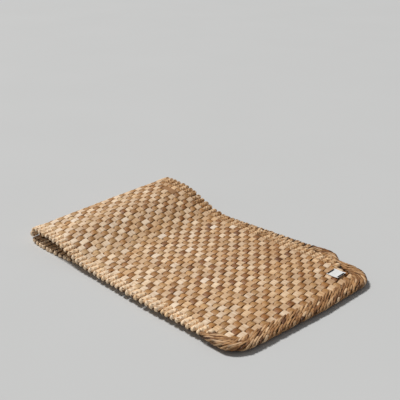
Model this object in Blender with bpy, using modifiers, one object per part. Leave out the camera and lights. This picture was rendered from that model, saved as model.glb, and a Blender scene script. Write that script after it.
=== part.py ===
"""A table runner hand woven from flat dried plant stems, folded once and laid on a table.

The runner lies along X with its fold at -X and its two ends at +X. The upper layer is the longer
one. The lower layer lies on the table at z = 0, turned a little towards +Y, so its far edge
peeks out. The fold stands open: low at the near side, -Y, and higher at the far side, +Y.

Every piece is first made flat, as it was woven: `along` is the distance from the upper end,
`across` the distance from the near edge, and `out` the height over the middle of the cloth,
positive on the face that shows. The function fold() then lays those points in the fold.
Lengths are in millimetres until fold() turns them into metres.
"""

import math

import bmesh
import bpy
import numpy as np
from mathutils import Vector

MM = 0.001

# The runner as it was woven, laid flat
WIDTH = 350.0
LENGTH = 1066.0
SHEET = 6.5
COLUMNS = 78
BORDER = 23.0
CORNER_RADIUS = 43.0

# The folded shape: where the fold and the upper end lie
FOLD_X = -278.0
UPPER_END_X = 282.0
NEAR_FOLD_HEIGHT = 34.0
FAR_FOLD_HEIGHT = 50.0
FOLD_CROWN = 2.0
LAYER_GAP = 3.0
FOLD_LENGTHEN = 1.15

# How far from the fold the upper layer starts to come down, and where it lies flat
NEAR_RAMP = (70.0, 200.0)
FAR_RAMP = (65.0, 205.0)

# The overhanging end of the upper layer sags, and its near half was plaited a little short
SAG_START_X = 175.0
SAG = 5.2
SHORT_NEAR_HALF = 13.0
SHORT_FROM_ACROSS = 205.0
SHORT_REACH = 190.0

# Middle line of each layer in plan. Columns: distance from the fold, y of the middle line
UPPER_MIDDLE = ((0.0, -5.0), (70.0, -8.5), (190.0, -13.0), (350.0, -16.5), (600.0, -13.5))
LOWER_MIDDLE = ((0.0, -5.0), (45.0, -8.0), (85.0, -7.0), (180.0, 1.0), (480.0, 19.0))

# The side border: ropes of pinched strip across it. Columns: distance in from the edge,
# half thickness
BORDER_SECTION = ((0.0, 2.4), (6.0, 3.7), (15.0, 3.6), (23.0, 3.25))
ROPE_RIDGE = 0.45
ROPE_BUMP = 1.3
FIELD_STRIPS = 5

# The plaited binding round each end
PLAIT_WIDTH = 25.0
PLAIT_THICKNESS = 8.0
PLAIT_TAIL = 34.0
TAIL_WIDTH = 7.0
STROKE_PITCH = 8.4
STROKE_LEAN = 11.0
STROKE_RIDGE = 0.9
PLAIT_SIDES = 10
SEAT_GAP = 0.5
SEAT_REACH = 60.0

# The sewn label, left blank
LABEL_LENGTH = 23.5
LABEL_WIDTH = 26.0
LABEL_THICKNESS = 0.9
LABEL_ALONG = 50.0
LABEL_ACROSS = 303.0
LABEL_TURN = math.radians(-2.0)
LABEL_SEAT = 0.4
LABEL_LIFT = 1.4

COLLECTION = "woven_table_runner"
STRAW = (0.64, 0.45, 0.24, 1.0)
PLAIT_STRAW = (0.52, 0.33, 0.15, 1.0)
LABEL_WHITE = (0.82, 0.81, 0.78, 1.0)


def smoothstep(value):
    """Eases from 0 to 1 as the value goes from 0 to 1."""
    held = min(max(value, 0.0), 1.0)
    return held * held * (3.0 - 2.0 * held)


def eased_table(table, distance):
    """Reads a table of (distance, value) rows, easing from row to row."""
    for (start, low), (end, high) in zip(table, table[1:]):
        if distance <= end:
            share = (distance - start) / (end - start)
            blend = 0.5 * (share + smoothstep(share))
            return low + (high - low) * blend
    return table[-1][1]


def fold_height(across):
    """Outer height of the fold over the table at this place across the cloth."""
    share = across / WIDTH
    straight = NEAR_FOLD_HEIGHT + (FAR_FOLD_HEIGHT - NEAR_FOLD_HEIGHT) * share
    return straight + FOLD_CROWN * math.sin(math.pi * share)


def upper_height(x, across):
    """Height of the middle of the upper layer's cloth."""
    share = across / WIDTH
    lying = SHEET + LAYER_GAP + SHEET / 2
    raised = fold_height(across) - SHEET / 2
    start = NEAR_RAMP[0] + (FAR_RAMP[0] - NEAR_RAMP[0]) * share
    end = NEAR_RAMP[1] + (FAR_RAMP[1] - NEAR_RAMP[1]) * share
    down = smoothstep((x - FOLD_X - start) / (end - start))
    over = (x - SAG_START_X) / (UPPER_END_X - SAG_START_X)
    return raised + (lying - raised) * down - SAG * max(over, 0.0) ** 1.3


def side_profile(across):
    """Middle of the cloth in side view, from the upper end round the fold to past the lower end.

    Returns the distances along the cloth, the x and z of each point, and the distance at which
    the fold turns.
    """
    low = SHEET / 2
    reach = (fold_height(across) - SHEET) / 2
    depth = reach * FOLD_LENGTHEN
    points = []
    for x in np.arange(UPPER_END_X + 40.0, FOLD_X + depth, -2.0):
        points.append((x, upper_height(x, across)))
    turn_at = len(points) + 12
    for step in range(25):
        angle = math.pi * (0.5 - step / 24)
        x = FOLD_X + depth * (1.0 - math.cos(angle))
        points.append((x, low + reach * (1.0 + math.sin(angle))))
    for x in np.arange(FOLD_X + depth + 2.0, FOLD_X + LENGTH, 2.0):
        points.append((x, low))
    profile = np.array(points)
    steps = np.hypot(np.diff(profile[:, 0]), np.diff(profile[:, 1]))
    along = np.concatenate(([0.0], np.cumsum(steps)))
    along -= np.interp(-UPPER_END_X, -profile[:turn_at, 0], along[:turn_at])
    return along, profile[:, 0], profile[:, 1], along[turn_at]


PROFILES = {}


def profile_at(across):
    """The side profile at this place across, worked out once for each."""
    key = round(min(max(across, 0.0), WIDTH), 1)
    if key not in PROFILES:
        PROFILES[key] = side_profile(key)
    return PROFILES[key]


def lie(along, across):
    """A point on the middle of the folded cloth, and the direction that its outer face looks."""
    lengths, xs, zs, turn = profile_at(across)
    short = SHORT_NEAR_HALF * min(max(1.0 - across / SHORT_FROM_ACROSS, 0.0), 1.0)
    moved = along + short * max(1.0 - along / SHORT_REACH, 0.0)
    x = np.interp(moved, lengths, xs)
    z = np.interp(moved, lengths, zs)
    slope = 1.5
    ahead = (np.interp(moved + slope, lengths, xs), np.interp(moved + slope, lengths, zs))
    behind = (np.interp(moved - slope, lengths, xs), np.interp(moved - slope, lengths, zs))
    face = Vector((ahead[1] - behind[1], 0.0, behind[0] - ahead[0])).normalized()
    table = UPPER_MIDDLE if moved < turn else LOWER_MIDDLE
    middle = eased_table(table, abs(turn - moved))
    return Vector((x, middle + across - WIDTH / 2, z)), face


def fold(along, across, out):
    """Lays a point of the flat runner in the fold, in metres. The table holds up what is lowest."""
    point, face = lie(along, across)
    laid = (point + face * out) * MM
    laid.z = max(laid.z, 0.0)
    return laid


def lies_on_table(along, across):
    """Whether the outer face at this place is the one pressed on the table."""
    lengths, xs, zs, turn = profile_at(across)
    return along > turn and np.interp(along, lengths, zs) < SHEET / 2 + 0.01


def inner_edge(along):
    """Distance in from the side edge to where the plait starts, at this distance from an end."""
    inner_radius = CORNER_RADIUS - PLAIT_WIDTH
    if along < CORNER_RADIUS:
        drop = CORNER_RADIUS - max(along, PLAIT_WIDTH)
        return CORNER_RADIUS - math.sqrt(max(inner_radius**2 - drop**2, 0.0))
    if along > CORNER_RADIUS + PLAIT_TAIL + row_pitch():
        return 0.0
    share = (along - CORNER_RADIUS) / PLAIT_TAIL
    return TAIL_WIDTH + (PLAIT_WIDTH - TAIL_WIDTH) * (1.0 - smoothstep(share))


def seat_inset(along):
    """How far in the cloth's side edge is moved at this distance from an end, to seat the plait."""
    inner = inner_edge(along)
    return inner + SEAT_GAP if inner > 0.0 else 0.0


def row_pitch():
    """Distance between the mesh's rows, two for each crosswise strip."""
    return (LENGTH - 2 * (PLAIT_WIDTH + SEAT_GAP)) / (2 * COLUMNS)


def row_stations():
    """Distances along the cloth of the mesh's rows."""
    return [PLAIT_WIDTH + SEAT_GAP + row_pitch() * step for step in range(2 * COLUMNS + 1)]


def clear_scene():
    """Removes whatever the open file holds."""
    for thing in list(bpy.data.objects):
        bpy.data.objects.remove(thing, do_unlink=True)


def make_collection(name):
    """A new collection linked to the scene."""
    collection = bpy.data.collections.new(name)
    bpy.context.scene.collection.children.link(collection)
    return collection


def make_material(name, colour, roughness):
    """A plain material of this colour."""
    material = bpy.data.materials.new(name)
    material.use_nodes = True
    shader = material.node_tree.nodes["Principled BSDF"]
    shader.inputs["Base Color"].default_value = colour
    shader.inputs["Roughness"].default_value = roughness
    shader.inputs["Metallic"].default_value = 0.0
    return material


def flat_panel(name, columns, rows, thickness):
    """A flat closed slab, `columns` by `rows` faces, made of a grid with Solidify."""
    bm = bmesh.new()
    bmesh.ops.create_grid(bm, x_segments=columns, y_segments=rows, size=0.5)
    mesh = bpy.data.meshes.new(name + "_flat")
    bm.to_mesh(mesh)
    bm.free()
    panel = bpy.data.objects.new(name + "_flat", mesh)
    bpy.context.scene.collection.objects.link(panel)
    solidify = panel.modifiers.new("Thickness", "SOLIDIFY")
    solidify.thickness = thickness
    solidify.offset = 0.0
    bpy.context.view_layer.update()
    graph = bpy.context.evaluated_depsgraph_get()
    solid = bpy.data.meshes.new_from_object(panel.evaluated_get(graph))
    solid.name = name
    bpy.data.objects.remove(panel, do_unlink=True)
    return solid


def add_piece(collection, name, mesh, material):
    """An object of this mesh, shaded smooth between sharp edges, in the collection."""
    mesh.materials.clear()
    mesh.materials.append(material)
    mesh.shade_smooth()
    mesh.set_sharp_from_angle(angle=math.radians(40.0))
    piece = bpy.data.objects.new(name, mesh)
    collection.objects.link(piece)
    return piece


def half_thickness(edge_distance):
    """Half the cloth's thickness at this distance in from a side edge."""
    return float(np.interp(edge_distance, *zip(*BORDER_SECTION)))


def make_runner(collection, material):
    """The woven cloth, its side borders roped, in one folded solid."""
    stations = row_stations()
    border_lines = [distance for distance, _ in BORDER_SECTION]
    field = np.linspace(BORDER, WIDTH - BORDER, FIELD_STRIPS + 1)[1:-1]
    lines = border_lines + list(field) + [WIDTH - distance for distance in reversed(border_lines)]
    mesh = flat_panel("runner", len(stations) - 1, len(lines) - 1, 0.2)
    for vertex in mesh.vertices:
        row = round((0.5 - vertex.co.x) * (len(stations) - 1))
        line = round((vertex.co.y + 0.5) * (len(lines) - 1))
        side = 1.0 if vertex.co.z > 0 else -1.0
        along = stations[row]
        across = lines[line]
        toward_middle = 1.0 if across < WIDTH / 2 else -1.0
        inset = seat_inset(min(along, LENGTH - along))
        at_edge = min(across, WIDTH - across) < 0.01
        across += toward_middle * inset * max(1.0 - min(across, WIDTH - across) / SEAT_REACH, 0.0)
        edge_distance = min(across, WIDTH - across)
        half = half_thickness(edge_distance)
        ridge = 1.0 if row % 2 else -1.0
        if edge_distance < BORDER - 0.01:
            half += ROPE_RIDGE * ridge
        if side > 0 and lies_on_table(along, across) and not at_edge:
            half = SHEET / 2
        if at_edge and inset == 0.0:
            across -= toward_middle * ROPE_BUMP * ridge
        vertex.co = fold(along, across, half * side)
    return add_piece(collection, "runner", mesh, material)


def plait_path(length):
    """Outer and inner edge of the plait, in flat (across, along), at this length round it.

    It runs up the near side, round the corner, across the end, and back down the far side.
    Also returns the length of the whole path.
    """
    arc = math.pi / 2 * CORNER_RADIUS
    straight = WIDTH - 2 * CORNER_RADIUS
    whole = 2 * PLAIT_TAIL + 2 * arc + straight
    mirrored = length > whole / 2
    place = whole - length if mirrored else length
    if place < PLAIT_TAIL:
        share = place / PLAIT_TAIL
        width = TAIL_WIDTH + (PLAIT_WIDTH - TAIL_WIDTH) * smoothstep(share)
        outer = (0.0, CORNER_RADIUS + PLAIT_TAIL - place)
        inner = (width, outer[1])
    elif place < PLAIT_TAIL + arc:
        angle = (place - PLAIT_TAIL) / CORNER_RADIUS
        away = (math.cos(angle), math.sin(angle))
        inner_radius = CORNER_RADIUS - PLAIT_WIDTH
        outer = (CORNER_RADIUS * (1 - away[0]), CORNER_RADIUS * (1 - away[1]))
        inner = (CORNER_RADIUS - inner_radius * away[0], CORNER_RADIUS - inner_radius * away[1])
    else:
        across = CORNER_RADIUS + place - PLAIT_TAIL - arc
        outer = (across, 0.0)
        inner = (across, PLAIT_WIDTH)
    if mirrored:
        outer = (WIDTH - outer[0], outer[1])
        inner = (WIDTH - inner[0], inner[1])
    return outer, inner, whole


def make_plait(collection, name, material, at_lower_end):
    """The plaited binding of one end: an oval band with slanting strokes, bent round the end."""
    whole = plait_path(0.0)[2]
    strokes = round(whole / STROKE_PITCH)
    rings = 2 * strokes
    bm = bmesh.new()
    bmesh.ops.create_grid(bm, x_segments=rings, y_segments=PLAIT_SIDES, size=0.5)
    for vertex in bm.verts:
        ring = round((vertex.co.x + 0.5) * rings)
        turn = 2 * math.pi * (round((vertex.co.y + 0.5) * PLAIT_SIDES) % PLAIT_SIDES) / PLAIT_SIDES
        lean = STROKE_LEAN * math.cos(turn) / 2
        length = min(max(whole * ring / rings + lean, 0.0), whole)
        outer, inner, _ = plait_path(length)
        width_share = 0.5 + 0.5 * math.cos(turn)
        across = inner[0] + (outer[0] - inner[0]) * width_share
        along = inner[1] + (outer[1] - inner[1]) * width_share
        ridge = STROKE_RIDGE * (1.0 if ring % 2 else -1.0)
        out = (PLAIT_THICKNESS / 2 - STROKE_RIDGE + ridge) * math.sin(turn)
        if at_lower_end:
            along = LENGTH - along
            out = min(out, SHEET / 2)
        vertex.co = fold(along, across, out)
    bmesh.ops.remove_doubles(bm, verts=bm.verts[:], dist=0.00001)
    rims = [edge for edge in bm.edges if edge.is_boundary]
    bmesh.ops.holes_fill(bm, edges=rims, sides=0)
    bmesh.ops.recalc_face_normals(bm, faces=bm.faces[:])
    mesh = bpy.data.meshes.new(name)
    bm.to_mesh(mesh)
    bm.free()
    return add_piece(collection, name, mesh, material)


def make_label(collection, material):
    """The small blank label, lying on the upper layer with its outer end a little raised."""
    mesh = flat_panel("label", 6, 4, 0.2)
    for vertex in mesh.vertices:
        forward = vertex.co.x * LABEL_LENGTH
        sideways = vertex.co.y * LABEL_WIDTH
        side = 0.5 if vertex.co.z > 0 else -0.5
        along = LABEL_ALONG - forward * math.cos(LABEL_TURN) - sideways * math.sin(LABEL_TURN)
        across = LABEL_ACROSS - forward * math.sin(LABEL_TURN) + sideways * math.cos(LABEL_TURN)
        lift = LABEL_LIFT * max(vertex.co.x + 0.1, 0.0) ** 2 / 0.36
        seat = SHEET / 2 + LABEL_SEAT + LABEL_THICKNESS / 2 + lift
        vertex.co = fold(along, across, seat + side * LABEL_THICKNESS)
    return add_piece(collection, "label", mesh, material)


def build():
    """Makes the whole runner."""
    clear_scene()
    collection = make_collection(COLLECTION)
    straw = make_material("straw", STRAW, 0.62)
    plait_straw = make_material("plait_straw", PLAIT_STRAW, 0.66)
    white = make_material("label_white", LABEL_WHITE, 0.8)
    make_runner(collection, straw)
    make_plait(collection, "end_plait_top", plait_straw, False)
    make_plait(collection, "end_plait_bottom", plait_straw, True)
    make_label(collection, white)


build()
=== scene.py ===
# %% [markdown]
# # A table runner woven from dried plant stems, folded once
#
# The real object is a long mat. Flat dried stems run along it and across it in a checker weave.
# Along its two long sides the stems are twisted into short ropes that turn back in loops, and
# its two short ends are bound with rows of slanting stems. It lies folded over on itself, with a
# small blank label near one corner.
#
# This lesson dresses a plain solid of that shape with real strips, one by one. The solid is the
# fixed frame: it is loaded first, and everything made here lies exactly where it lies.

# %% Load the frame
import math

import bpy
import numpy as np
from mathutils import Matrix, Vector


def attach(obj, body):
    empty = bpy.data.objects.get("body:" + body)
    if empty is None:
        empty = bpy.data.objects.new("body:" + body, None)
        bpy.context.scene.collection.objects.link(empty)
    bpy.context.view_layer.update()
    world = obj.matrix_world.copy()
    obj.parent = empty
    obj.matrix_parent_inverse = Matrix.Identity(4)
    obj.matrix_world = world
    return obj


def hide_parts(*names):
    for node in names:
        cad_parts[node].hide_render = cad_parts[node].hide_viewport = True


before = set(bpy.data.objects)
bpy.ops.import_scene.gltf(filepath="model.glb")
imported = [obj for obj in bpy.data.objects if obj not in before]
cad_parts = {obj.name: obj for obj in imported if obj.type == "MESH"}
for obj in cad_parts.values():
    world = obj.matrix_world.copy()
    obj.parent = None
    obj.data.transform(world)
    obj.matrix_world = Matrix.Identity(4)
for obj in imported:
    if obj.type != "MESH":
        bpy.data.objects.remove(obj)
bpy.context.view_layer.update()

print("solids:", sorted(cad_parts))

# %% [markdown]
# ## The camera
#
# The camera comes first, because it decides what has to be looked at closely. It stands to the
# near right of the runner and looks slantwise over it at a low angle. A lens of 65 mm keeps the
# picture calm, with little perspective.

# %% Make the camera
CAMERA_PLACE = Vector((0.8607, -0.8420, 0.6156))
CAMERA_AIM = Vector((-0.1997, 0.2060, 0.0))
LENS_MM = 65.04

camera = bpy.data.objects.new("camera", bpy.data.cameras.new("camera"))
camera.data.lens = LENS_MM
camera.data.sensor_width = 36.0
camera.data.clip_end = 50.0
camera.location = CAMERA_PLACE
camera.rotation_mode = "QUATERNION"
camera.rotation_quaternion = (CAMERA_AIM - CAMERA_PLACE).to_track_quat("-Z", "Y")
bpy.context.scene.collection.objects.link(camera)
bpy.context.scene.camera = camera
print("camera stands", round((CAMERA_AIM - CAMERA_PLACE).length, 2), "m away")

# %% [markdown]
# ## The sizes of the runner
#
# These are the sizes of the runner as it was woven, and of the fold that it lies in. They are
# in millimetres, because that is how a maker would measure it. The functions below turn them
# into metres only at the end.

# %% The woven sizes, in millimetres
MM = 0.001
WIDTH = 350.0
LENGTH = 1066.0
SHEET = 6.5
ROWS = 20
COLUMNS = 80
NEAR_BORDER = 22.5
FAR_BORDER = 24.5
CORNER_RADIUS = 43.0
PLAIT_WIDTH = 25.0
PLAIT_TAIL = 34.0
TAIL_WIDTH = 7.0
print("the runner is", WIDTH, "by", LENGTH, "mm laid flat")

# %% The folded shape, in millimetres
FOLD_X = -278.0
UPPER_END_X = 282.0
NEAR_FOLD_HEIGHT = 34.0
FAR_FOLD_HEIGHT = 50.0
FOLD_CROWN = 2.0
LAYER_GAP = 3.0
FOLD_LENGTHEN = 1.15
NEAR_RAMP = (70.0, 200.0)
FAR_RAMP = (65.0, 205.0)
SAG_START_X = 175.0
SAG = 5.2
SAG_POWER = 1.3
SHORT_NEAR_HALF = 13.0
SHORT_FROM_ACROSS = 205.0
SHORT_REACH = 190.0
# Columns: distance from the fold, y of the layer's middle line
UPPER_MIDDLE = ((0.0, -5.0), (70.0, -8.5), (190.0, -13.0), (350.0, -16.5), (600.0, -13.5))
LOWER_MIDDLE = ((0.0, -5.0), (45.0, -8.0), (85.0, -7.0), (180.0, 1.0), (480.0, 19.0))
print("the fold stands", NEAR_FOLD_HEIGHT, "to", FAR_FOLD_HEIGHT, "mm high")

# %% [markdown]
# ## Laying a flat strip in the fold
#
# It is hard to model a strip that weaves over and under its neighbours and also bends round a
# fold. So the two jobs are parted. Each strip is first made flat, with three coordinates:
# `along` the runner from its upper end, `across` it from the near edge, and `out` above the
# middle of the cloth. One function then bends all of that space into the fold. A deform
# modifier could bend it too, but a function gives the same result each time, and it can be
# asked where any point of the cloth lies.

# %% The side view of the fold
SIDE_STEP = 2.0
BEND_STEPS = 24
SPARE_END = 40.0


def smoothstep(value):
    """Eases from 0 to 1 as the value goes from 0 to 1."""
    held = np.clip(value, 0.0, 1.0)
    return held * held * (3.0 - 2.0 * held)


def eased_table(table, distance):
    """Reads a table of (distance, value) rows, easing from row to row."""
    places, values = (np.array(column) for column in zip(*table))
    row = np.clip(np.searchsorted(places, distance) - 1, 0, len(places) - 2)
    share = np.clip((distance - places[row]) / (places[row + 1] - places[row]), 0.0, 1.0)
    return values[row] + (values[row + 1] - values[row]) * 0.5 * (share + smoothstep(share))


def side_profile(across):
    """Middle of the cloth in side view: length along it, x, z, and where the fold turns."""
    share = across / WIDTH
    straight = NEAR_FOLD_HEIGHT + (FAR_FOLD_HEIGHT - NEAR_FOLD_HEIGHT) * share
    height = straight + FOLD_CROWN * math.sin(math.pi * share)
    reach = (height - SHEET) / 2
    depth = reach * FOLD_LENGTHEN
    lying = SHEET + LAYER_GAP + SHEET / 2
    raised = height - SHEET / 2
    start = NEAR_RAMP[0] + (FAR_RAMP[0] - NEAR_RAMP[0]) * share
    end = NEAR_RAMP[1] + (FAR_RAMP[1] - NEAR_RAMP[1]) * share
    upper_x = np.arange(UPPER_END_X + SPARE_END, FOLD_X + depth, -SIDE_STEP)
    down = smoothstep((upper_x - FOLD_X - start) / (end - start))
    over = np.maximum((upper_x - SAG_START_X) / (UPPER_END_X - SAG_START_X), 0.0)
    upper_z = raised + (lying - raised) * down - SAG * over**SAG_POWER
    angle = math.pi * (0.5 - np.arange(BEND_STEPS + 1) / BEND_STEPS)
    bend_x = FOLD_X + depth * (1.0 - np.cos(angle))
    bend_z = SHEET / 2 + reach * (1.0 + np.sin(angle))
    lower_x = np.arange(FOLD_X + depth + SIDE_STEP, FOLD_X + LENGTH, SIDE_STEP)
    x = np.concatenate((upper_x, bend_x, lower_x))
    z = np.concatenate((upper_z, bend_z, np.full(len(lower_x), SHEET / 2)))
    along = np.concatenate(([0.0], np.cumsum(np.hypot(np.diff(x), np.diff(z)))))
    turn_at = len(upper_x) + BEND_STEPS // 2
    along -= np.interp(-UPPER_END_X, -x[:turn_at], along[:turn_at])
    return along, x, z, along[turn_at]


print("the near edge turns", round(float(side_profile(0.0)[3])), "mm from the upper end")

# %% A map of the whole folded cloth
ACROSS_STEP = 5.0
ALONG_STEP = 1.0
SPARE = 12.0
SLOPE_REACH = 1.5
MAP_ACROSS = np.arange(0.0, WIDTH + 0.1, ACROSS_STEP)
MAP_ALONG = np.arange(-SPARE, LENGTH + SPARE, ALONG_STEP)


def map_row(across):
    """x, z, the two parts of the outward direction, and the middle line's y, along one line."""
    lengths, xs, zs, turn = side_profile(across)
    short = SHORT_NEAR_HALF * min(max(1.0 - across / SHORT_FROM_ACROSS, 0.0), 1.0)
    moved = MAP_ALONG + short * np.maximum(1.0 - MAP_ALONG / SHORT_REACH, 0.0)
    ahead, behind = moved + SLOPE_REACH, moved - SLOPE_REACH
    rise = np.interp(ahead, lengths, zs) - np.interp(behind, lengths, zs)
    run = np.interp(ahead, lengths, xs) - np.interp(behind, lengths, xs)
    size = np.hypot(rise, run)
    away = np.abs(turn - moved)
    middle = np.where(moved < turn, eased_table(UPPER_MIDDLE, away), eased_table(LOWER_MIDDLE, away))
    return np.stack((np.interp(moved, lengths, xs), np.interp(moved, lengths, zs),
                     rise / size, -run / size, middle), axis=-1)


FOLD_MAP = np.stack([map_row(across) for across in MAP_ACROSS])
print("the map of the fold has", FOLD_MAP.shape[0], "by", FOLD_MAP.shape[1], "places")


# %% Fold any point of the flat cloth
FLOOR_CLEAR = 0.05


def fold(along, across, out):
    """Lays points of the flat runner in the fold. Takes millimetres and gives metres."""
    along, across, out = np.broadcast_arrays(along, across, out)
    line = np.clip(across, 0.0, WIDTH) / ACROSS_STEP
    place = (np.clip(along, MAP_ALONG[0], MAP_ALONG[-1]) - MAP_ALONG[0]) / ALONG_STEP
    low_line = np.minimum(line.astype(int), len(MAP_ACROSS) - 2)
    low_place = np.minimum(place.astype(int), len(MAP_ALONG) - 2)
    share_line = (line - low_line)[..., None]
    share_place = (place - low_place)[..., None]
    first = FOLD_MAP[low_line, low_place] * (1 - share_place)
    first = first + FOLD_MAP[low_line, low_place + 1] * share_place
    second = FOLD_MAP[low_line + 1, low_place] * (1 - share_place)
    second = second + FOLD_MAP[low_line + 1, low_place + 1] * share_place
    x, z, face_x, face_z, middle = np.moveaxis(first + (second - first) * share_line, -1, 0)
    size = np.hypot(face_x, face_z)
    laid_z = np.maximum(z + out * face_z / size, FLOOR_CLEAR)
    return np.stack((x + out * face_x / size, middle + across - WIDTH / 2, laid_z), axis=-1) * MM


print("middle of the upper layer, in mm:", (1000 * fold(280.0, 175.0, 0.0)).round(1).tolist())

# %% [markdown]
# ## From rings to a mesh
#
# Every strip and strand here is a closed tube: a row of rings with the same number of points,
# joined by four-sided faces and capped at both ends. Curves with a bevel would do for round
# cords, but a flat stem changes its width, its thickness and its tilt all the way, so the rings
# are worked out as numbers, many strips at once.
#
# Four facts are stored at each point for the materials. `tone` says how dark the stem is there, `tint`
# whether it is reddish or greyish, the third how much painted shade, with a little staining, darkens it
# where it lies deep under its neighbours, and `grain` is a place on the stem itself, so that fibres
# always run along it.

# %% Join rings into closed tubes
SHARP_ANGLE = math.radians(42.0)


def tube_faces(strips, stations, around):
    """Faces of closed tubes: `strips` of them, with `stations` rings of `around` points."""
    ring = np.arange(around)
    station = np.arange(stations - 1)[:, None] * around
    side = np.stack((station + ring, station + (ring + 1) % around,
                     station + around + (ring + 1) % around, station + around + ring), axis=-1)
    steps = np.arange(around // 2 - 1)
    cap = np.stack((steps, around - 1 - steps, around - 2 - steps, steps + 1), axis=-1)
    end_cap = cap[:, ::-1] + (stations - 1) * around
    one = np.concatenate((side.reshape(-1, 4), cap, end_cap))
    first = np.arange(strips)[:, None, None] * stations * around
    return (first + one).reshape(-1, 4)


def add_piece(name, points, material, grain, tone=0.0, tint=0.5, shade_and_stain=0.0):
    """A piece of these rings, (strips, stations, around, 3), with what its material needs."""
    strips, stations, around = points.shape[:3]
    faces = tube_faces(strips, stations, around)
    places = points.reshape(-1, 3)
    corners = places[faces]
    turned = np.einsum("ij,ij->i", corners[:, 0], np.cross(corners[:, 1], corners[:, 2]))
    turned += np.einsum("ij,ij->i", corners[:, 0], np.cross(corners[:, 2], corners[:, 3]))
    if turned.sum() < 0:
        faces = faces[:, ::-1]
    mesh = bpy.data.meshes.new(name)
    mesh.from_pydata(places.tolist(), [], faces.tolist())
    for fact, value in (("tone", tone), ("tint", tint), ("shade_and_stain", shade_and_stain)):
        spread = np.broadcast_to(value, points.shape[:3]).ravel().astype(np.float32)
        mesh.attributes.new(fact, "FLOAT", "POINT").data.foreach_set("value", spread)
    grain = np.stack(np.broadcast_arrays(*grain, points[..., 0])[:3], -1)
    mesh.attributes.new("grain", "FLOAT_VECTOR", "POINT").data.foreach_set(
        "vector", grain.ravel().astype(np.float32))
    mesh.materials.append(material)
    mesh.shade_smooth()
    mesh.set_sharp_from_angle(angle=SHARP_ANGLE)
    piece = bpy.data.objects.new(name, mesh)
    bpy.context.scene.collection.objects.link(piece)
    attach(piece, "root")
    print(name, "has", 2 * len(faces), "triangles")
    return piece


print("one short tube has", len(tube_faces(1, 3, 8)), "faces")

# %% [markdown]
# ## Shader maths that reads like maths
#
# A material is a graph of nodes, and building one by hand is long. This small class wraps a node's
# output, so that `1 - tone * 0.5` adds the Math nodes by itself. Colours are mixed by Mix nodes,
# because a Math node would turn them grey.

# %% A wrapped socket and a painter
class Value:
    """The output of a node, for use in sums."""

    def __init__(self, painter, socket):
        self.painter = painter
        self.socket = socket

    def math(self, operation, first, second):
        return self.painter.node("ShaderNodeMath", {0: first, 1: second}, operation=operation)

    def __add__(self, other):
        return self.math("ADD", self, other)

    def __radd__(self, other):
        return self.math("ADD", other, self)

    def __sub__(self, other):
        return self.math("SUBTRACT", self, other)

    def __rsub__(self, other):
        return self.math("SUBTRACT", other, self)

    def __mul__(self, other):
        return self.math("MULTIPLY", self, other)

    def __rmul__(self, other):
        return self.math("MULTIPLY", other, self)


class Painter:
    """Builds one material's nodes."""

    def __init__(self, name, **constants):
        self.material = bpy.data.materials.new(name)
        self.material.use_nodes = True
        self.tree = self.material.node_tree
        self.shader = self.tree.nodes["Principled BSDF"]
        for socket, value in constants.items():
            self.shader.inputs[socket.replace("_", " ")].default_value = value

    def feed(self, socket, value):
        """Links a wrapped output to a socket, or sets a plain value on it."""
        if isinstance(value, Value):
            self.tree.links.new(value.socket, socket)
        else:
            socket.default_value = value

    def node(self, kind, inputs=None, output=0, stops=None, **settings):
        """Adds a node: its settings first, then the values or links of its sockets."""
        made = self.tree.nodes.new(kind)
        for setting, value in settings.items():
            setattr(made, setting, value)
        if stops:
            while len(made.color_ramp.elements) < len(stops):
                made.color_ramp.elements.new(1.0)
            for element, (place, colour) in zip(made.color_ramp.elements, stops):
                element.position = place
                element.color = (*colour, 1.0)
        for socket, value in (inputs or {}).items():
            self.feed(made.inputs[socket], value)
        return Value(self, made.outputs[output])

    def fact(self, name, output="Fac"):
        """A fact that the mesh stores at each point."""
        return self.node("ShaderNodeAttribute", output=output, attribute_name=name)

    def mix(self, share, first, second, blend="MIX"):
        """Mixes two colours by a share."""
        inputs = {"Factor": share, 6: first, 7: second}
        return self.node("ShaderNodeMix", inputs, output=2, data_type="RGBA", blend_type=blend)

    def noise(self, place, scale, detail=2.0):
        """Soft noise from 0 to 1 at a place."""
        return self.node("ShaderNodeTexNoise", {"Vector": place, "Scale": scale, "Detail": detail})

    def stretched(self, place, factors):
        """A place with each of its axes multiplied."""
        return self.node("ShaderNodeVectorMath", {0: place, 1: factors}, operation="MULTIPLY")

    def finish(self, **looks):
        """Feeds the shader's varying sockets and gives the material."""
        for socket, value in looks.items():
            self.feed(self.shader.inputs[socket.replace("_", " ")], value)
        return self.material


print("the painter is ready")

# %% [markdown]
# ## Dried stem
#
# A dried stem is pale straw to dark brown, with fine fibres along it and a satin skin. Where it dives
# under its neighbours it is darkened by painted shade, with a little staining. Some are reddish and
# some greyish. All the strips share one recipe and differ only in their colours, as the real ones do:
# the same plant, picked and dried differently.

# %% The recipe for dried stem
# Columns: marks per metre across the stem, per metre along it, and a step from stem to stem
FIBRE_GRAIN = (1300.0, 45.0, 1.0)
STREAK_GRAIN = (380.0, 16.0, 1.0)
CLOUD_GRAIN = (120.0, 80.0, 1.0)
FIBRE_DEPTH = 0.6
STREAK_DEPTH = 0.8
CLOUD_DEPTH = 0.25
TUCK_SHADE = 0.8
STEM_ROUGHNESS = 0.6
ROUGHNESS_VARIES = 0.25
BUMP_STRENGTH = 0.5
BUMP_HEIGHT = 0.0004
SHADE_AND_STAIN_COLOUR = (0.045, 0.018, 0.006, 1.0)
REDDISH = (1.07, 0.96, 0.82, 1.0)
GREYISH = (0.98, 1.0, 1.08, 1.0)


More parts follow.
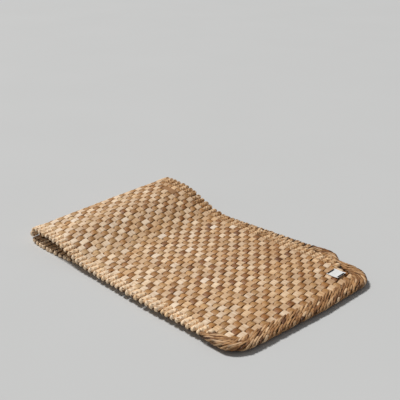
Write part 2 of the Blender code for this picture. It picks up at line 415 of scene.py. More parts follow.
def dried_stem(name, stops):
    """Dried stem with these colours from pale to dark."""
    paint = Painter(name, Metallic=0.0, IOR=1.45)
    grain = paint.fact("grain", output="Vector")
    fibres = paint.noise(paint.stretched(grain, FIBRE_GRAIN), 1.0, 3.0)
    streaks = paint.noise(paint.stretched(grain, STREAK_GRAIN), 1.0)
    clouds = paint.noise(paint.stretched(grain, CLOUD_GRAIN), 1.0)
    marks = (streaks - 0.5) * STREAK_DEPTH + (fibres - 0.5) * FIBRE_DEPTH
    marks = marks + (clouds - 0.5) * CLOUD_DEPTH
    place = paint.fact("tone") + marks
    skin = paint.node("ShaderNodeValToRGB", {"Fac": place}, stops=stops)
    shade = paint.mix(paint.fact("tint"), REDDISH, GREYISH)
    tinted = paint.mix(1.0, skin, shade, blend="MULTIPLY")
    # Painted shade, with a little staining, darkens the stem where it lies deep under its neighbours.
    colour = paint.mix(paint.fact("shade_and_stain") * TUCK_SHADE, tinted, SHADE_AND_STAIN_COLOUR)
    height = fibres * 0.5 + streaks * 0.5
    bump = paint.node("ShaderNodeBump", {"Height": height, "Strength": BUMP_STRENGTH,
                                         "Distance": BUMP_HEIGHT})
    rough = STEM_ROUGHNESS + (clouds - 0.5) * ROUGHNESS_VARIES
    return paint.finish(Base_Color=colour, Roughness=rough, Normal=bump)


PALE = ((0.0, (0.95, 0.78, 0.58)), (0.35, (0.70, 0.49, 0.295)), (0.65, (0.53, 0.325, 0.165)),
        (1.0, (0.36, 0.18, 0.067)))
BROWN = ((0.0, (0.70, 0.49, 0.26)), (0.35, (0.46, 0.245, 0.082)), (0.62, (0.305, 0.130, 0.030)),
         (0.85, (0.185, 0.063, 0.011)), (1.0, (0.105, 0.033, 0.007)))
STRAW = ((0.0, (0.96, 0.76, 0.53)), (0.4, (0.85, 0.61, 0.37)), (0.75, (0.55, 0.33, 0.15)),
         (1.0, (0.27, 0.125, 0.042)))
GOLDEN = ((0.0, (0.80, 0.57, 0.345)), (0.4, (0.45, 0.245, 0.098)), (0.75, (0.26, 0.115, 0.036)),
          (1.0, (0.11, 0.043, 0.013)))
pale_stem = dried_stem("pale_stem", PALE)
brown_stem = dried_stem("brown_stem", BROWN)
straw_stem = dried_stem("straw_stem", STRAW)
golden_stem = dried_stem("golden_stem", GOLDEN)
print("stems:", pale_stem.name, brown_stem.name, straw_stem.name, golden_stem.name)

# %% [markdown]
# ## The checker weave
#
# Twenty strips run along the runner and eighty run across it. A table of crossings says which
# of the two is on top at each one. In a plain weave they take turns, like the squares of a
# chessboard. A hand weaver slips now and then, so two crossings of the lower layer are swapped,
# and by the fold one strip floats over three columns.
#
# The strips aren't evenly wide. They are a little wider just past the middle of the upper layer
# and towards the near side, and the ones at the ends are wider too.

# %% Where the strips lie
FIELD_START = 22.5
WIDER_COLUMN = 26.0
WIDER_REACH = 7.5
WIDER_BY = 0.08
END_COLUMN_WIDER = 0.08
ROW_SPREAD = 0.055
COLUMN_UNEVEN = 0.035
ROW_UNEVEN = 0.03
dice = np.random.default_rng(11)


def cell_edges(start, end, weights):
    """The edges of cells between two places, their sizes in proportion to the weights."""
    steps = np.concatenate(([0.0], np.cumsum(weights)))
    return start + (end - start) * steps / steps[-1]


column_number = np.arange(COLUMNS) + 0.5
column_size = 1.0 + WIDER_BY * np.exp(-(((column_number - WIDER_COLUMN) / WIDER_REACH) ** 2))
column_size += dice.normal(0.0, COLUMN_UNEVEN, COLUMNS)
column_size[[0, -1]] += END_COLUMN_WIDER
COLUMN_EDGES = cell_edges(FIELD_START, LENGTH - FIELD_START, column_size)
COLUMN_MIDDLES = 0.5 * (COLUMN_EDGES[1:] + COLUMN_EDGES[:-1])
COLUMN_HALVES = 0.5 * np.diff(COLUMN_EDGES)
row_size = np.linspace(1.0 + ROW_SPREAD, 1.0 - ROW_SPREAD, ROWS)
row_size += dice.normal(0.0, ROW_UNEVEN, ROWS)
ROW_EDGES = cell_edges(NEAR_BORDER, WIDTH - FAR_BORDER, row_size)
ROW_MIDDLES = 0.5 * (ROW_EDGES[1:] + ROW_EDGES[:-1])
ROW_HALVES = 0.5 * np.diff(ROW_EDGES)
for kind, halves in (("columns", COLUMN_HALVES), ("rows", ROW_HALVES)):
    print(kind, "are", round(2 * halves.min(), 1), "to", round(2 * halves.max(), 1), "mm wide")

# %% Which strip is on top
FIRST_ON_TOP = 1
# Columns: row, column
SLIPS = ((6, 57), (12, 66))
LONG_FLOAT_ROW = 18
LONG_FLOAT_COLUMNS = (35, 38)
rows, columns = np.meshgrid(np.arange(ROWS), np.arange(COLUMNS), indexing="ij")
ON_TOP = np.where((rows + columns + FIRST_ON_TOP) % 2 == 0, 1.0, -1.0)
for slip_row, slip_column in SLIPS:
    ON_TOP[slip_row, slip_column] *= -1.0
ON_TOP[LONG_FLOAT_ROW, LONG_FLOAT_COLUMNS[0]:LONG_FLOAT_COLUMNS[1]] = 1.0
print("lengthwise strips are on top at", int((ON_TOP > 0).sum()), "of", ON_TOP.size, "crossings")

# %% [markdown]
# ## One strip over and under
#
# A strip stays high over one crossing, dives at its edge and stays low under the next. The
# function below reads a row of crossings and gives the strip's height at any place along it,
# from +1, on top, to -1, underneath. A sine wave would be simpler, but it never lies flat, and
# a flat stem does.

# %% Over and under
CELL_STOPS = np.array([0.0, 0.12, 0.26, 0.5, 0.74, 0.88])


def stops_in_cells(cells):
    """Places along a strip, counted in cells, closer together where it dives."""
    return np.append((np.arange(cells)[:, None] + CELL_STOPS).ravel(), float(cells))


def over_under(crossings, place, flat_share):
    """Height from -1 to 1 at a place counted in crossings. Outside the crossings it is 0."""
    padded = np.pad(crossings, ((0, 0), (2, 2)))
    cell = np.clip(np.floor(place).astype(int), -2, crossings.shape[1] + 1)
    inside = place - cell - 0.5
    here = padded[:, cell + 2]
    beside = padded[:, np.clip(cell + 2 + np.sign(inside).astype(int), 0, padded.shape[1] - 1)]
    turn = smoothstep((np.abs(inside) - flat_share) / (1.0 - 2 * flat_share))
    return here + (beside - here) * turn


def wander(count, crossings, place, size):
    """A small offset for each strip that changes gently from crossing to crossing."""
    knots = dice.normal(0.0, size, (count, crossings + 4))
    at = np.clip(place + 1.5, 0.0, crossings + 2.99)
    low = at.astype(int)
    share = smoothstep(at - low)
    return knots[:, low] * (1.0 - share) + knots[:, low + 1] * share


sample = over_under(ON_TOP[:1], np.linspace(2.5, 4.0, 4), 0.3)
print("heights over one and a half cells:", sample.round(2).tolist())

# %% [markdown]
# ## The section of a stem
#
# A flattened stem is a flat band with crisp edges. Where it floats, its edges bend down to its
# neighbours. Eight points are enough: the two edges stay sharp, and smooth shading rounds the
# faces between them. One edge of a strip dives a little before the other does, so the squares
# of the weave are slightly skewed.

# %% Rings round a strip
SECTION_SIDE = np.array([-1.0, -0.92, 0.0, 0.92, 1.0, 0.92, 0.0, -0.92])
SECTION_RISE = np.array([0.0, 0.8, 1.0, 0.8, 0.0, -0.8, -1.0, -0.8])
HALF_THICK = 1.15
LEVEL = 1.9
DIVE_SKEW = 1.5
DIVE_TUCK = 0.7
SIDEWAYS_WANDER = 0.4
LEVEL_WANDER = 0.12


def strip_rings(centre, half_width, level, crown, roll):
    """Sideways place and height of each ring's points, for (strips, stations) of each value."""
    sideways = centre[..., None] + half_width[..., None] * SECTION_SIDE
    height = level[..., None] + HALF_THICK * SECTION_RISE
    return sideways, height - crown[..., None] * SECTION_SIDE**2 + roll[..., None] * SECTION_SIDE


def shade_and_stain_of(state, edge_tuck):
    """How much painted shade, with a little staining, darkens each point: at the thin edges of a float,
    and where the strip dives.
    """
    height = state[..., None]
    dive = DIVE_TUCK * smoothstep((0.1 - height) / 0.8)
    edge = edge_tuck * smoothstep(height) * (np.abs(SECTION_SIDE) == 1.0)
    return np.clip(dive + edge, 0.0, 1.0)


print("a ring has", len(SECTION_SIDE), "points")

# %% [markdown]
# ## The lengthwise strips
#
# These are the pale ones. Where one is on top it is a little wider than its spacing, so it laps over
# its neighbours. A painted gradient of light lies over them: they are a little paler towards the fold
# and the near side, where the light falls more strongly, and darker towards the far side. They stand
# for the cloth itself.

# %% Make the lengthwise strips
PALE_FLAT = 0.42
PALE_SHIFT = 0.05
PALE_CROWN = 0.7
PALE_WIDER = 0.1
PALE_EDGE_TUCK = 0.05
PALE_UNEVEN = 0.025
PALE_ROLL = 0.22
PALE_TONE = 0.31
PALE_VARIES = 0.12
PALE_ROW_VARIES = 0.04
PALE_TINT_VARIES = 0.24
FAR_PAINTED_SHADE = 0.22
FOLD_PAINTED_LIGHT = 0.3
# Shares of the width and of the length at which the painted light gradient adds nothing
STEADY_ACROSS = 0.4
STEADY_ALONG = 0.25
UNDER_BINDING = 4.5
LONG_FLOAT_DARKER = 0.75


def rim_distance(across):
    """How far in along the runner its round-cornered end lies at this distance across."""
    inside = np.maximum(CORNER_RADIUS - np.minimum(across, WIDTH - across), 0.0)
    return CORNER_RADIUS - np.sqrt(CORNER_RADIUS**2 - inside**2)


def painted_light_drift(along, across):
    """Painted light: what the tone gains at a place, darker to the far side and paler by the fold."""
    to_end = np.minimum(along, LENGTH - along)
    drift = FAR_PAINTED_SHADE * (across / WIDTH - STEADY_ACROSS)
    return drift + FOLD_PAINTED_LIGHT * (STEADY_ALONG - to_end / LENGTH)


def make_lengthwise():
    """All the strips that run along the runner, in one piece."""
    place = stops_in_cells(COLUMNS)
    along = np.interp(place, np.arange(COLUMNS + 1), COLUMN_EDGES)
    place = np.concatenate(([-1.2, -0.5], place, [COLUMNS + 0.5, COLUMNS + 1.2]))
    middle = ROW_MIDDLES[:, None]
    start = rim_distance(middle) + UNDER_BINDING
    reach = along[0] - start
    along = np.concatenate((start, start + 0.5 * reach, along + 0.0 * start,
                            LENGTH - start - 0.5 * reach, LENGTH - start), axis=1)
    state = over_under(ON_TOP, place + PALE_SHIFT, PALE_FLAT)
    half = ROW_HALVES[:, None]
    swell = 1.0 + PALE_WIDER * state + wander(ROWS, COLUMNS, place, PALE_UNEVEN)
    centre = middle + wander(ROWS, COLUMNS, place, SIDEWAYS_WANDER)
    level = LEVEL * state + wander(ROWS, COLUMNS, place, LEVEL_WANDER)
    roll = wander(ROWS, COLUMNS, place, PALE_ROLL)
    across, out = strip_rings(centre, half * swell, level, PALE_CROWN * state, roll)
    points = fold(along[..., None] + DIVE_SKEW * SECTION_SIDE, across, out)
    tone = PALE_TONE + dice.normal(0.0, PALE_ROW_VARIES, (ROWS, 1))
    tone = tone + wander(ROWS, COLUMNS, place, PALE_VARIES)
    # Painted light: darker to the far side, paler by the fold.
    tone += painted_light_drift(along, middle)
    tint = 0.5 + wander(ROWS, COLUMNS, place, PALE_TINT_VARIES)
    middle_of_float = sum(LONG_FLOAT_COLUMNS) / 2
    half_float = (LONG_FLOAT_COLUMNS[1] - LONG_FLOAT_COLUMNS[0]) / 2
    on_float = np.abs(place - middle_of_float) < half_float + 0.3
    tone[LONG_FLOAT_ROW] += LONG_FLOAT_DARKER * on_float
    number = np.arange(ROWS)[:, None, None] * 1.0
    grain = (across * MM, along[..., None] * MM, number)
    return add_piece("lengthwise_strips", points, pale_stem, grain, tone[..., None], tint[..., None],
                     shade_and_stain_of(state, PALE_EDGE_TUCK))


lengthwise = make_lengthwise()

# %% [markdown]
# ## The crosswise strips
#
# These are the brown ones, each a shade of its own. In the middle of a float they lie nearly flat, and
# their edges drop at its two ends, where they duck under the pale strips. So the pale squares almost
# meet there, and the brown ones look like diamonds. At the sides of the runner the brown strips run on
# under the roped border, and there painted shade darkens them almost to black.

# %% The inner line of the end binding
def binding_edge(along):
    """Distance in from the side to where the end binding starts, at this distance from an end."""
    inner_radius = CORNER_RADIUS - PLAIT_WIDTH
    drop = CORNER_RADIUS - np.clip(along, PLAIT_WIDTH, CORNER_RADIUS)
    corner = CORNER_RADIUS - np.sqrt(np.maximum(inner_radius**2 - drop**2, 0.0))
    share = (along - CORNER_RADIUS) / PLAIT_TAIL
    tail = TAIL_WIDTH + (PLAIT_WIDTH - TAIL_WIDTH) * (1.0 - smoothstep(share))
    return np.where(along < CORNER_RADIUS, corner, np.where(share < 1.0, tail, 0.0))


print("the binding starts", binding_edge(np.array([30.0, 50.0, 70.0])).round(1).tolist(), "mm in")

# %% Make the crosswise strips
BROWN_FLAT = 0.1
BROWN_TAPER = 0.1
BROWN_CROWN = 0.25
BROWN_TIP = 2.2
BROWN_EDGE_TUCK = 0.5
BROWN_UNEVEN = 0.03
BROWN_ROLL = 0.25
BROWN_TONE = 0.43
BROWN_VARIES = 0.1
BROWN_COLUMN_VARIES = 0.07
BROWN_TINT_VARIES = 0.26
BROWN_COLUMN_TINT_VARIES = 0.1
BROWN_START = 3.0
BINDING_LAP = 4.0
LEAST_IN_BORDER = 2.0
# Each kind of stem is numbered from a first number of its own, so that the grains differ
CROSSWISE_FIRST = 100.0
# Column of the weave, and how much darker than the rest it is
DARK_COLUMNS = {17: 0.16, 20: 0.14, 24: 0.2, 25: 0.16, 34: 0.08, 35: 0.12}
# Column of the weave, and how much paler than the rest it is
PALE_COLUMNS = {1: 0.1, 2: 0.12, 3: 0.1, 4: 0.1, 8: 0.16, 27: 0.1, 28: 0.1}


def make_crosswise():
    """All the strips that run across the runner, in one piece."""
    place = stops_in_cells(ROWS)
    across = np.interp(place, np.arange(ROWS + 1), ROW_EDGES)
    place = np.concatenate(([-1.4, -0.7], place, [ROWS + 0.7, ROWS + 1.4]))
    middle = COLUMN_MIDDLES[:, None]
    start = binding_edge(np.minimum(middle, LENGTH - middle)) - BINDING_LAP
    start = np.maximum(start, BROWN_START)
    near = np.minimum(start, NEAR_BORDER - LEAST_IN_BORDER)
    far = np.minimum(start, FAR_BORDER - LEAST_IN_BORDER)
    across = np.concatenate((near, 0.5 * (near + NEAR_BORDER), across + 0.0 * middle,
                             WIDTH - 0.5 * (far + FAR_BORDER), WIDTH - far), axis=1)
    state = -over_under(ON_TOP.T, place, BROWN_FLAT)
    half = COLUMN_HALVES[:, None]
    swell = 1.0 - BROWN_TAPER * (1.0 - np.abs(state)) + wander(COLUMNS, ROWS, place, BROWN_UNEVEN)
    centre = middle + wander(COLUMNS, ROWS, place, SIDEWAYS_WANDER)
    level = LEVEL * state + wander(COLUMNS, ROWS, place, LEVEL_WANDER)
    roll = wander(COLUMNS, ROWS, place, BROWN_ROLL)
    crown = BROWN_CROWN * state + BROWN_TIP * (1.0 - state**2)
    along, out = strip_rings(centre, half * swell, level, crown, roll)
    points = fold(along, across[..., None] + DIVE_SKEW * SECTION_SIDE, out)
    tone = BROWN_TONE + dice.normal(0.0, BROWN_COLUMN_VARIES, (COLUMNS, 1))
    tone = tone + wander(COLUMNS, ROWS, place, BROWN_VARIES)
    # Painted light: the same gradient, darker to the far side and paler by the fold.
    tone += painted_light_drift(middle, across)
    for column, darker in DARK_COLUMNS.items():
        tone[column] += darker
    for column, paler in PALE_COLUMNS.items():
        tone[column] -= paler
    tint = 0.5 + dice.normal(0.0, BROWN_COLUMN_TINT_VARIES, (COLUMNS, 1))
    tint = tint + wander(COLUMNS, ROWS, place, BROWN_TINT_VARIES)
    # Under the roped border the strips take the full painted shade.
    in_border = np.abs(place - ROWS / 2) > ROWS / 2 + 0.4
    shade_and_stain = np.maximum(shade_and_stain_of(state, BROWN_EDGE_TUCK), in_border[None, :, None] * 1.0)
    number = np.arange(COLUMNS)[:, None, None] + CROSSWISE_FIRST
    grain = (along * MM, across[..., None] * MM, number)
    return add_piece("crosswise_strips", points, brown_stem, grain, tone[..., None],
                     tint[..., None], shade_and_stain)


crosswise = make_crosswise()

# %% [markdown]
# ## The roped borders
#
# Outside the weave, the stem of each column is twisted into a short rope. It runs out to the
# rim, turns there in a small loop and comes back, winding round itself. So each rope is one
# stem: two arms of a helix, joined by a half circle at the rim. The knuckles of the ropes side
# by side make the knobbly edge of the runner.

# %% Rings round a bent strip
ROUND_SIDE = np.array([-1.0, -0.72, 0.0, 0.72, 1.0, 0.72, 0.0, -0.72])
ROUND_RISE = np.array([0.0, 0.78, 1.0, 0.78, 0.0, -0.78, -1.0, -0.78])


def turning_rings(path, outward, half_width, half_thick):
    """Ring points of strips that follow (strips, stations, 3) paths with their flat side out."""
    ahead = np.gradient(path, axis=1)
    ahead = ahead / np.linalg.norm(ahead, axis=-1, keepdims=True)
    outward = outward - (outward * ahead).sum(-1, keepdims=True) * ahead
    outward = outward / np.linalg.norm(outward, axis=-1, keepdims=True)
    beside = np.cross(ahead, outward)
    sideways = beside[..., None, :] * (half_width[..., None] * ROUND_SIDE)[..., None]
    upward = outward[..., None, :] * (half_thick[..., None] * ROUND_RISE)[..., None]
    return path[..., None, :] + sideways + upward


def run_of(path):
    """Length along each path, in millimetres, at each of its stations."""
    steps = np.linalg.norm(np.diff(path, axis=1), axis=-1)
    return np.concatenate((np.zeros((len(path), 1)), np.cumsum(steps, axis=1)), axis=1)


print("a rounder ring has", len(ROUND_RISE), "points")

# %% Make the roped borders
ROPE_ORBIT = 3.9
ROPE_FLATTEN = 0.5
ROPE_LAY = 16.0
ROPE_HALF_WIDTH = 4.0
ROPE_HALF_THICK = 2.2
ROPE_OVERLAP = 4.0
ROPE_LAY_VARIES = 0.08
ROPE_FIRST_TURN = 0.75
ROPE_FIRST_TURN_VARIES = 0.4
ROPE_SIZE_VARIES = 0.06
ROPE_LEAN = 0.9
ROPE_FADE = 0.45
ROPE_VARIES = 0.1
ROPE_WANDER = 0.12
ROPE_TINT = 0.4
ROPE_TINT_VARIES = 0.2
ROPE_TURN_TUCK = 0.2
ROPE_EDGE_TUCK = 0.2
ROPE_ROOT_TUCK = 0.8
ROPE_BINDING_LAP = 3.0
FAR_ROPES_FIRST = 300.0
NEAR_ROPES_FIRST = 500.0
RIM_CLEAR = 0.5
RIM_UNEVEN = 0.7
ARM_STEPS = 10
LOOP_STEPS = 5
SHORTEST_ROPE = 7.0
# The near ropes are pale straw. The far ropes are darker: partly their own golden colour, partly
# painted shade of the far side.
NEAR_TONE = 0.0
FAR_TONE_WITH_SHADE = 0.56


def make_border(name, border, at_far_side, shade):
    """The ropes along one side, in one piece."""
    to_end = np.minimum(COLUMN_MIDDLES, LENGTH - COLUMN_MIDDLES)
    taken = np.maximum(binding_edge(to_end) - ROPE_BINDING_LAP, 0.0)
    outermost = taken + RIM_CLEAR + ROPE_ORBIT + ROPE_HALF_THICK
    keep = border - outermost > SHORTEST_ROPE
    middle, outermost = COLUMN_MIDDLES[keep], outermost[keep]
    count = len(middle)
    outermost = (outermost + np.abs(dice.normal(0.0, RIM_UNEVEN, count)))[:, None]
    arm = np.linspace(1.0, 0.0, ARM_STEPS)
    loop = np.linspace(-1.0, 1.0, LOOP_STEPS + 2)[1:-1]
    inward = np.concatenate((arm, 0.0 * loop, arm[::-1]))[None, :]
    bend = math.pi / 2 * np.concatenate((-1.0 + 0.0 * arm, loop, 1.0 + 0.0 * arm))[None, :]
    depth = inward * (border + ROPE_OVERLAP - outermost)
    lay = ROPE_LAY * (1.0 + dice.normal(0.0, ROPE_LAY_VARIES, (count, 1)))
    start_turn = ROPE_FIRST_TURN + dice.normal(0.0, ROPE_FIRST_TURN_VARIES, (count, 1))
    turn = start_turn + 2 * math.pi * depth / lay * (-1.0 if at_far_side else 1.0)
    fat = 1.0 + dice.normal(0.0, ROPE_SIZE_VARIES, (count, 1))
    fat = fat + wander(count, 5, 5 * np.abs(bend[0]) * inward[0], ROPE_SIZE_VARIES)
    fade = 1.0 - ROPE_FADE * smoothstep((depth + outermost - border) / ROPE_OVERLAP)
    orbit_along = ROPE_ORBIT * fade * np.cos(turn)
    orbit_out = ROPE_ORBIT * ROPE_FLATTEN * fade * np.sin(turn)
    edge = outermost + depth - ROPE_ORBIT * np.cos(bend)
    lean = dice.normal(0.0, ROPE_LEAN, (count, 1)) * (1.0 - depth / border)
    side = np.sin(bend)
    along = middle[:, None] + lean + orbit_along * side
    path = np.stack((along, edge, orbit_out * side), axis=-1)
    facing = (np.cos(turn) * side, -np.cos(bend) + 0.0 * turn, np.sin(turn) * side)
    tip = np.sqrt(np.clip(1.0 - (inward - 0.55) / 0.45, 0.08, 1.0)) * 0.35 + 0.65
    rings = turning_rings(path, np.stack(facing, axis=-1), ROPE_HALF_WIDTH * fat * tip,
                          ROPE_HALF_THICK * fat * fade)
    across = WIDTH - rings[..., 1] if at_far_side else rings[..., 1]
    points = fold(rings[..., 0], across, rings[..., 2])
    stations = np.arange(inward.shape[1]) / 3.0
    tone = shade + dice.normal(0.0, ROPE_VARIES, (count, 1)) + wander(count, 9, stations, ROPE_WANDER)
    tint = ROPE_TINT + wander(count, 9, stations, ROPE_TINT_VARIES)
    # Painted shade darkens each rope where it turns side-on in its loop, along its edges, and at its
    # root under the weave.
    side_on = smoothstep((0.3 - np.abs(np.sin(turn) * side)) / 0.3) * (np.abs(bend) > 1.5)
    at_edge = np.abs(ROUND_SIDE) == 1.0
    shade_and_stain = np.clip(ROPE_TURN_TUCK * side_on[..., None] + ROPE_EDGE_TUCK * at_edge, 0.0, 1.0)
    shade_and_stain = np.maximum(shade_and_stain, smoothstep((inward - 0.88) / 0.12)[..., None] * ROPE_ROOT_TUCK)
    number = np.arange(count)[:, None, None] + (FAR_ROPES_FIRST if at_far_side else NEAR_ROPES_FIRST)
    grain = (ROUND_SIDE * ROPE_HALF_WIDTH * MM, run_of(path)[..., None] * MM, number)
    return add_piece(name, points, straw_stem, grain, tone[..., None], tint[..., None], shade_and_stain)


near_border = make_border("near_border_ropes", NEAR_BORDER, False, NEAR_TONE)
far_border = make_border("far_border_ropes", FAR_BORDER, True, FAR_TONE_WITH_SHADE)

# %% [markdown]
# ## The binding round each end
#
# Each short end is bound with stems that slant across it like the strokes of a braid, in rows
# that overlap like scales: three rows on each face and one round the rim. So every stroke is
# its own short strip. A place on the binding is given by the length round the end and by the
# way from the inner line over the rim to the inner line underneath. A bump texture of strokes
# would be quicker, but the rim of the real thing is ragged against the light, and only real
# strips make that outline.

# %% The path of the binding
PATH_ARC = math.pi / 2 * CORNER_RADIUS
PATH_WHOLE = 2 * PLAIT_TAIL + 2 * PATH_ARC + WIDTH - 2 * CORNER_RADIUS


def binding_path(length):
    """Outer and inner edge of the binding, in flat (across, along), at this length round it."""
    length = np.clip(length, 0.0, PATH_WHOLE)
    mirrored = length > PATH_WHOLE / 2
    place = np.where(mirrored, PATH_WHOLE - length, length)
    share = np.clip(place / PLAIT_TAIL, 0.0, 1.0)
    width = TAIL_WIDTH + (PLAIT_WIDTH - TAIL_WIDTH) * smoothstep(share)
    angle = np.clip((place - PLAIT_TAIL) / CORNER_RADIUS, 0.0, math.pi / 2)
    straight_before = np.maximum(PLAIT_TAIL - place, 0.0)
    straight_after = np.maximum(place - PLAIT_TAIL - PATH_ARC, 0.0)
    away = np.stack((-np.cos(angle), -np.sin(angle)), -1)
    centre = np.stack((CORNER_RADIUS + straight_after, CORNER_RADIUS + straight_before), -1)
    outer = centre + away * CORNER_RADIUS
    inner = outer - away * width[..., None]
    for edge in (outer, inner):
        edge[..., 0] = np.where(mirrored, WIDTH - edge[..., 0], edge[..., 0])
    return outer, inner


print("the end binding is", round(PATH_WHOLE), "mm round")

# %% Over the rim and back
RIM_RADIUS = 2.7
FACE_RUN = PLAIT_WIDTH - RIM_RADIUS
RIM_RUN = math.pi * RIM_RADIUS


def over_the_rim(way):
    """Distance in from the rim, height, and the outward direction, at a way over the binding."""
    angle = np.clip((way - FACE_RUN) / RIM_RADIUS, 0.0, math.pi)
    before = np.maximum(FACE_RUN - way, 0.0)
    after = np.maximum(way - FACE_RUN - RIM_RUN, 0.0)
    inward = RIM_RADIUS * (1.0 - np.sin(angle)) + before + after
    return inward, RIM_RADIUS * np.cos(angle), -np.sin(angle), np.cos(angle)


print("it is", round(2 * FACE_RUN + RIM_RUN), "mm from inner line to inner line over the rim")

# %% Make the end bindings
STROKE_PITCH = 9.0
STROKE_HALF_WAY = 5.5
STROKE_LEAN = 2.1
STROKE_STEPS = 9
STROKE_HALF_WIDTH = 2.0
STROKE_HALF_THICK = 1.6
STROKE_ARCH = 0.9
STROKE_SINK = 1.0
STROKE_ROWS = (5.6, 12.4, 19.2)
STROKE_STAGGER = 0.37
STROKE_LENGTH_VARIES = 0.1
STROKE_LEAN_VARIES = 0.12
STROKE_WIDTH_VARIES = 0.12
STROKE_SPOT_UNEVEN = 0.7
STROKE_WAY_UNEVEN = 0.5
STROKE_LIFT_UNEVEN = 0.2
STROKE_TONE = 0.5
STROKE_VARIES = 0.24
STROKE_TINT = 0.45
STROKE_TINT_VARIES = 0.25
STROKE_EDGE_TUCK = 0.5
STROKE_END_TUCK = 0.85
STROKES_FIRST = 700.0
SIDE_CLEAR = 0.3
LOOSE_END = 2.6
LOOSE_SHARE = 0.3
LOOSE_REACH = 8.0


def make_binding(name, at_lower_end):
    """All the strokes round one end, in one piece."""
    rim_way = FACE_RUN + RIM_RUN / 2
    ways = np.array(STROKE_ROWS + (rim_way,) + tuple(2 * rim_way - way for way in STROKE_ROWS[::-1]))
    spots = np.arange(0.5, PATH_WHOLE / STROKE_PITCH) * STROKE_PITCH
    way, spot = (grid.ravel()[:, None] for grid in np.meshgrid(ways, spots, indexing="ij"))
    row = np.repeat(np.arange(len(ways)), len(spots))[:, None]
    count = len(way)
    spot = spot + STROKE_PITCH * STROKE_STAGGER * row + dice.normal(0.0, STROKE_SPOT_UNEVEN, (count, 1))
    step = np.linspace(-1.0, 1.0, STROKE_STEPS)[None, :]
    half_way = STROKE_HALF_WAY * (1.0 + dice.normal(0.0, STROKE_LENGTH_VARIES, (count, 1)))
    lean = STROKE_LEAN * (1.0 + dice.normal(0.0, STROKE_LEAN_VARIES, (count, 1)))
    over = way + dice.normal(0.0, STROKE_WAY_UNEVEN, (count, 1)) + half_way * step
    length = spot - lean * half_way * step
    inward, height, face_in, face_up = over_the_rim(over)
    outer, inner = binding_path(length)
    width = np.linalg.norm(outer - inner, axis=-1)
    size = width / PLAIT_WIDTH
    away = (outer - inner) / width[..., None]
    near_rim = np.abs(way - rim_way) < LOOSE_REACH
    loose = (dice.random((count, 1)) < LOOSE_SHARE) * near_rim * LOOSE_END
    lift = STROKE_ARCH * (1.0 - step**2) - STROKE_SINK * step**2 + loose * np.maximum(step, 0.0) ** 3
    lift = lift + dice.normal(0.0, STROKE_LIFT_UNEVEN, (count, 1))
    thin = 0.45 + 0.55 * size
    centre = outer - away * ((inward + lift * face_in) * size)[..., None]
    level = (height + lift * face_up) * thin
    path = np.concatenate((centre, level[..., None]), axis=-1)
    facing = np.concatenate((-away * face_in[..., None], face_up[..., None]), axis=-1)
    swell = 1.0 + dice.normal(0.0, STROKE_WIDTH_VARIES, (count, 1))
    taper = np.sqrt(1.0 - 0.6 * step**4)
    rings = turning_rings(path, facing, STROKE_HALF_WIDTH * thin * swell * taper,
                          STROKE_HALF_THICK * thin * taper)
    across, along = rings[..., 0], rings[..., 1]
    if at_lower_end:
        across, along = WIDTH - across, LENGTH - along
    points = fold(along, np.clip(across, SIDE_CLEAR, WIDTH - SIDE_CLEAR), rings[..., 2])
    tone = STROKE_TONE + dice.normal(0.0, STROKE_VARIES, (count, 1)) + 0.0 * step
    tint = STROKE_TINT + dice.normal(0.0, STROKE_TINT_VARIES, (count, 1)) + 0.0 * step
    # Painted shade darkens the ends of each stroke, where it goes under its neighbours, and its edges.
    end = smoothstep((np.abs(step) - 0.45) / 0.55)[..., None] * STROKE_END_TUCK
    shade_and_stain = np.clip(end + STROKE_EDGE_TUCK * (np.abs(ROUND_SIDE) == 1.0), 0.0, 1.0)
    number = np.arange(count)[:, None, None] + STROKES_FIRST
    grain = (ROUND_SIDE * STROKE_HALF_WIDTH * MM, run_of(path)[..., None] * MM, number)
    return add_piece(name, points, golden_stem, grain, tone[..., None], tint[..., None], shade_and_stain)


binding_top = make_binding("end_binding_top", False)
binding_bottom = make_binding("end_binding_bottom", True)

# %% [markdown]
# ## The label
#
# A small tag of white tape is sewn on near one corner, by a close row of dark stitches at each
# end. It is blank. Its outer end stands up a little, as a stiff tape does.

# %% Make the label
LABEL_LENGTH = 23.5
LABEL_WIDTH = 26.0
LABEL_THICKNESS = 0.8
LABEL_ALONG = 50.0
LABEL_ACROSS = 303.0
LABEL_TURN = math.radians(-2.0)
LABEL_SEAT = 0.4
LABEL_LIFT = 1.4


def label_place(forward, sideways, above):
    """A place on the label, laid on the upper layer. `forward` and `sideways` are from -1 to 1."""
    x = forward * LABEL_LENGTH / 2
    y = sideways * LABEL_WIDTH / 2
    along = LABEL_ALONG - x * math.cos(LABEL_TURN) - y * math.sin(LABEL_TURN)
    across = LABEL_ACROSS - x * math.sin(LABEL_TURN) + y * math.cos(LABEL_TURN)
    lift = LABEL_LIFT * np.maximum(forward / 2 + 0.1, 0.0) ** 2 / 0.36
    return fold(along, across, SHEET / 2 + LABEL_SEAT + lift + above)


def woven_tape():
    """Matt white tape with a fine weave."""
    paint = Painter("woven_tape", Metallic=0.0)
    grain = paint.fact("grain", output="Vector")
    weave = paint.node("ShaderNodeTexChecker", {"Vector": grain, "Scale": 2600.0}, output=1)
    cloud = paint.noise(grain, 240.0)
    colour = paint.mix(cloud, (0.78, 0.77, 0.74, 1.0), (0.88, 0.87, 0.85, 1.0))
    bump = paint.node("ShaderNodeBump", {"Height": weave, "Strength": 0.3, "Distance": 0.0002})
    return paint.finish(Base_Color=colour, Roughness=0.85 - 0.1 * cloud, Normal=bump)


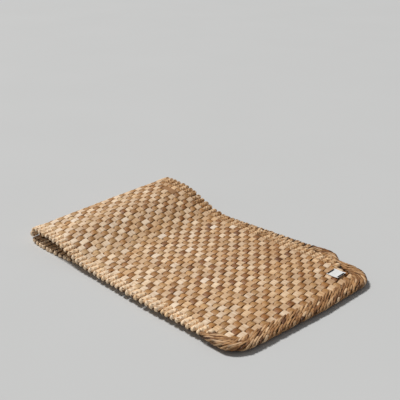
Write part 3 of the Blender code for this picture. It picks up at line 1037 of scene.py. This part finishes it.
def make_label():
    """The tape, as one thin closed sheet."""
    forward = np.linspace(-1.0, 1.0, 14)[None, :, None]
    ring_side = np.array([-1.0, -0.5, 0.0, 0.5, 1.0, 1.0, 0.5, 0.0, -0.5, -1.0])
    ring_up = np.repeat((0.0, LABEL_THICKNESS), 5)
    points = label_place(forward, ring_side, ring_up)
    grain = (forward * LABEL_LENGTH / 2 * MM, ring_side * LABEL_WIDTH / 2 * MM, 0.0)
    return add_piece("label_tape", points, woven_tape(), grain)


label = make_label()

# %% Sew it on
STITCHES = 14
STITCH_ROWS = (-0.87, 0.85)
STITCH_FROM = -0.80
STITCH_TO = 0.60
STITCH_HALF_THICK = 0.8
STITCH_HALF_WIDTH = 0.12
STITCH_LEAN = 0.05


def dark_thread():
    """Matt dark sewing thread."""
    paint = Painter("dark_thread", Metallic=0.0)
    fuzz = paint.noise(paint.fact("grain", output="Vector"), 3000.0)
    colour = paint.mix(fuzz, (0.008, 0.008, 0.011, 1.0), (0.028, 0.026, 0.032, 1.0))
    return paint.finish(Base_Color=colour, Roughness=0.75 + 0.2 * fuzz)


def make_stitches():
    """Short arched stitches in a close row at each end of the tape."""
    spots = np.linspace(STITCH_FROM, STITCH_TO, STITCHES)
    row, spot = (grid.ravel()[:, None] for grid in np.meshgrid(STITCH_ROWS, spots, indexing="ij"))
    step = np.linspace(-1.0, 1.0, 7)[None, :]
    turn = 2 * math.pi * np.arange(6) / 6
    arch = 0.5 * (1.0 - step**2) - 0.25
    forward = (row + STITCH_LEAN * step)[..., None] + STITCH_HALF_WIDTH * np.cos(turn)
    sideways = (spot + 0.5 * (spots[1] - spots[0]) * step)[..., None]
    above = LABEL_THICKNESS + arch[..., None] + STITCH_HALF_THICK * np.sin(turn)
    points = label_place(forward, sideways, above)
    return add_piece("label_stitches", points, dark_thread(), np.moveaxis(points, -1, 0))


stitches = make_stitches()

# %% [markdown]
# ## Hiding the plain solids
#
# The plain solids that the new pieces stand for are hidden: the runner, the plaits at both ends and the
# label.

cloth_pieces = (lengthwise, crosswise, near_border, far_border)
for piece in cloth_pieces:
    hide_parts("runner")
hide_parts("end_plait_top")
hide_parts("end_plait_bottom")
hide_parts("label")

# %% [markdown]
# ## The floor and the light
#
# The floor is plain and pale. One soft sun stands over the fold's end, a little more than
# halfway up the sky, so that each strip's rim throws a short soft shadow towards the other end.
# A lamp near the runner would leave a bright pool on the floor, and a sun lights all of it
# alike. A pale sky fills the shadows.

# %% Light it
KEY_PLACE = Vector((-1.3, -0.1, 1.75))
KEY_ANGLE = math.radians(12.0)
KEY_STRENGTH = 2.9
SKY = (0.80, 0.81, 0.83, 1.0)
SKY_STRENGTH = 0.25
FLOOR_COLOUR = (0.60, 0.60, 0.59, 1.0)
FLOOR_PALER = (0.62, 0.62, 0.61, 1.0)
FLOOR_SIZE = 30.0
FLOOR_BELOW = 0.0002


def pale_floor():
    """A plain pale backdrop, very slightly uneven."""
    paint = Painter("pale_floor", Metallic=0.0)
    place = paint.node("ShaderNodeTexCoord", output="Object")
    cloud = paint.noise(place, 3.0)
    colour = paint.mix(cloud, FLOOR_COLOUR, FLOOR_PALER)
    return paint.finish(Base_Color=colour, Roughness=0.9 - 0.05 * cloud)


bpy.ops.mesh.primitive_plane_add(size=FLOOR_SIZE, location=(0.0, 0.0, -FLOOR_BELOW))
floor = bpy.context.active_object
floor.name = "floor"
floor.data.materials.append(pale_floor())

lamp = bpy.data.objects.new("key", bpy.data.lights.new("key", "SUN"))
lamp.data.energy = KEY_STRENGTH
lamp.data.angle = KEY_ANGLE
lamp.location = KEY_PLACE
lamp.rotation_mode = "QUATERNION"
lamp.rotation_quaternion = (-KEY_PLACE).to_track_quat("-Z", "Y")
bpy.context.scene.collection.objects.link(lamp)

world = bpy.data.worlds.new("sky")
world.use_nodes = True
world.node_tree.nodes["Background"].inputs["Color"].default_value = SKY
world.node_tree.nodes["Background"].inputs["Strength"].default_value = SKY_STRENGTH
bpy.context.scene.world = world
bpy.context.scene.view_settings.view_transform = "Standard"
print("one sun of strength", KEY_STRENGTH, "and a pale sky")
